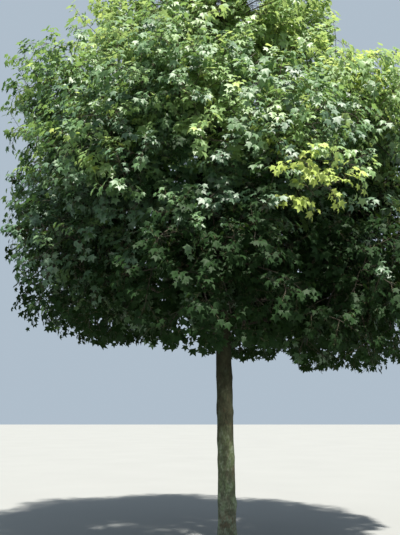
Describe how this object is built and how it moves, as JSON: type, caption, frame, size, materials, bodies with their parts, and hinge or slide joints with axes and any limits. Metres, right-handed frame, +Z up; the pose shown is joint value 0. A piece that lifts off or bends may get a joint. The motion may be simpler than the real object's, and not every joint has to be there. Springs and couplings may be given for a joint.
{
  "type": "maple tree",
  "caption": "Young maple with a clear stem and a dense, square-shouldered crown in late-summer leaf, cut flat at ground level to stand on a floor.",
  "frame": {"origin": "middle of the flat cut under the trunk, at ground level", "axes": "+Z up the trunk, +Y away from the usual viewer, +X to the viewer's right"},
  "size_m": [5.2526, 5.1851, 7.6012],
  "materials": {
    "trunk_bark": "grey-olive bark with fine upright furrows, grey lichen and green algae",
    "bough_bark": "smoother grey-brown bark of young wood",
    "leaf_deep_green": "deep green leaves with a waxy gloss",
    "leaf_fresh_green": "fresh green leaves with a waxy gloss",
    "leaf_yellow_green": "yellow-green leaves that begin to turn"
  },
  "bodies": {
    "root": {"trunk": "trunk_bark", "bough_skirt_1": "bough_bark", "bough_skirt_2": "bough_bark", "bough_skirt_3": "bough_bark", "bough_skirt_4": "bough_bark", "bough_skirt_5": "bough_bark", "bough_skirt_6": "bough_bark", "bough_belly_1": "bough_bark", "bough_belly_2": "bough_bark", "bough_belly_3": "bough_bark", "bough_belly_4": "bough_bark", "bough_belly_5": "bough_bark", "bough_belly_6": "bough_bark", "bough_shoulder_1": "bough_bark", "bough_shoulder_2": "bough_bark", "bough_shoulder_3": "bough_bark", "bough_shoulder_4": "bough_bark", "bough_shoulder_5": "bough_bark", "bough_shoulder_6": "bough_bark", "bough_dome_1": "bough_bark", "bough_dome_2": "bough_bark", "bough_dome_3": "bough_bark", "bough_dome_4": "bough_bark", "foliage_skirt_1": "leaf_deep_green", "foliage_skirt_2": "leaf_deep_green", "foliage_skirt_3": "leaf_deep_green", "foliage_skirt_4": "leaf_deep_green", "foliage_skirt_5": "leaf_deep_green", "foliage_skirt_6": "leaf_deep_green", "foliage_belly_1": "leaf_deep_green", "foliage_belly_2": "leaf_deep_green", "foliage_belly_3": "leaf_deep_green", "foliage_belly_4": "leaf_deep_green", "foliage_belly_5": "leaf_deep_green", "foliage_belly_6": "leaf_deep_green", "foliage_shoulder_1": "leaf_fresh_green", "foliage_shoulder_2": "leaf_fresh_green", "foliage_shoulder_3": "leaf_fresh_green", "foliage_shoulder_4": "leaf_fresh_green", "foliage_shoulder_5": "leaf_fresh_green", "foliage_shoulder_6": "leaf_fresh_green", "foliage_dome_1": "leaf_yellow_green", "foliage_dome_2": "leaf_yellow_green", "foliage_dome_3": "leaf_yellow_green", "foliage_dome_4": "leaf_yellow_green", "foliage_crest": "leaf_yellow_green"}
  },
  "joints": []
}
